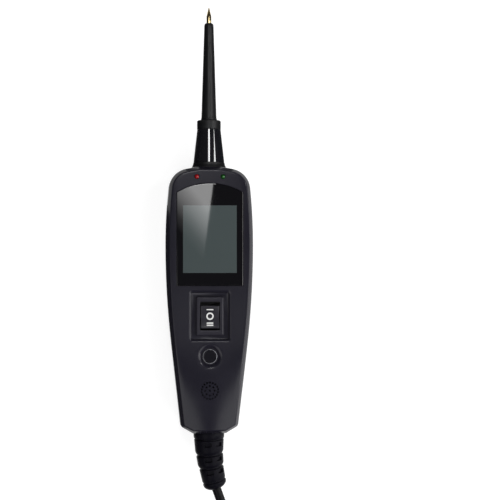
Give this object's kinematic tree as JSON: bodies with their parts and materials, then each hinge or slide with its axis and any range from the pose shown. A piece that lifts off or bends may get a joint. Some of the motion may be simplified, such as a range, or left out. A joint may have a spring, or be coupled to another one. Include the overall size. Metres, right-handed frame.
{
  "type": "automotive circuit tester",
  "caption": "Handheld tester for vehicle wiring: tapered housing with a display, rocker switch and mode button, a long insulated probe at the nose and a power lead from a segmented boot.",
  "frame": {"origin": "centre of the rear housing's flat back, halfway along the housing", "axes": "+Y along the tester towards the probe tip, +Z out of the front face, +X to the right seen from the front"},
  "size_m": [0.0484, 0.4009, 0.0366],
  "materials": {
    "housing_black": "fine satin mould texture",
    "window_gloss": "gloss panel with a clear picture area",
    "foam": "closed-cell foam",
    "display_glass": "grey-green display that is switched off",
    "board_green": "solder-mask green",
    "component_black": "moulded black",
    "switch_black": "satin black",
    "rocker_black": "satin black with white marks",
    "contact_brass": "plain brass",
    "button_black": "satin black",
    "bright_steel": "zinc plated",
    "dark_steel": "black zinc",
    "red_lens": "tinted lens",
    "green_lens": "tinted lens",
    "ring_black": "matte black",
    "smoked_lens": "smoked gloss lens",
    "board_white": "white solder mask",
    "light_white": "clear lamp over phosphor",
    "sleeve_rubber": "matte insulation",
    "pin_brass": "bright turned brass",
    "boot_rubber": "satin black rubber",
    "lead_jacket": "insulated leads",
    "cord_jacket": "smooth black jacket",
    "tie_black": "woven black strap",
    "plug_black": "satin black"
  },
  "bodies": {
    "housing": {"front_housing": "housing_black", "rear_housing": "housing_black", "display_window": "window_gloss", "display_gasket": "foam", "display_module": "display_glass", "main_board": "board_green", "board_components": "component_black", "switch_body": "switch_black", "switch_terminals": "contact_brass", "mode_switch": "bright_steel", "buzzer": "component_black", "red_lamp": "red_lens", "green_lamp": "green_lens", "neck_ring": "ring_black", "nose_lens": "smoked_lens", "lamp_board": "board_white", "work_lights": "light_white", "tip_socket": "contact_brass", "tip_collar": "ring_black", "probe_sleeve": "sleeve_rubber", "probe_pin": "pin_brass", "strain_relief": "boot_rubber", "cord_clamp": "component_black", "clamp_screws": "bright_steel", "board_screws": "bright_steel", "housing_screws": "dark_steel", "inner_leads": "lead_jacket", "power_cord": "cord_jacket", "cord_hank": "cord_jacket", "cord_ties": "tie_black", "cord_end": "cord_jacket", "plug_housing": "plug_black", "plug_contacts": "contact_brass"},
    "rocker": {"switch_rocker": "rocker_black"},
    "button": {"mode_button": "button_black", "mode_switch_plunger": "component_black"}
  },
  "joints": [
    {"name": "rocker_swing", "type": "hinge", "parent": "housing", "child": "rocker", "pos_m": [0, -0.0086, 0.025], "axis": [1, 0, 0], "range_deg": [-8, 8], "stiffness_Nm_per_rad": 0.03},
    {"name": "button_press", "type": "slide", "parent": "housing", "child": "button", "axis": [0, 0, -1], "range_m": [0, 0.0005], "stiffness_N_per_m": 500, "springref_m": -0.002}
  ]
}
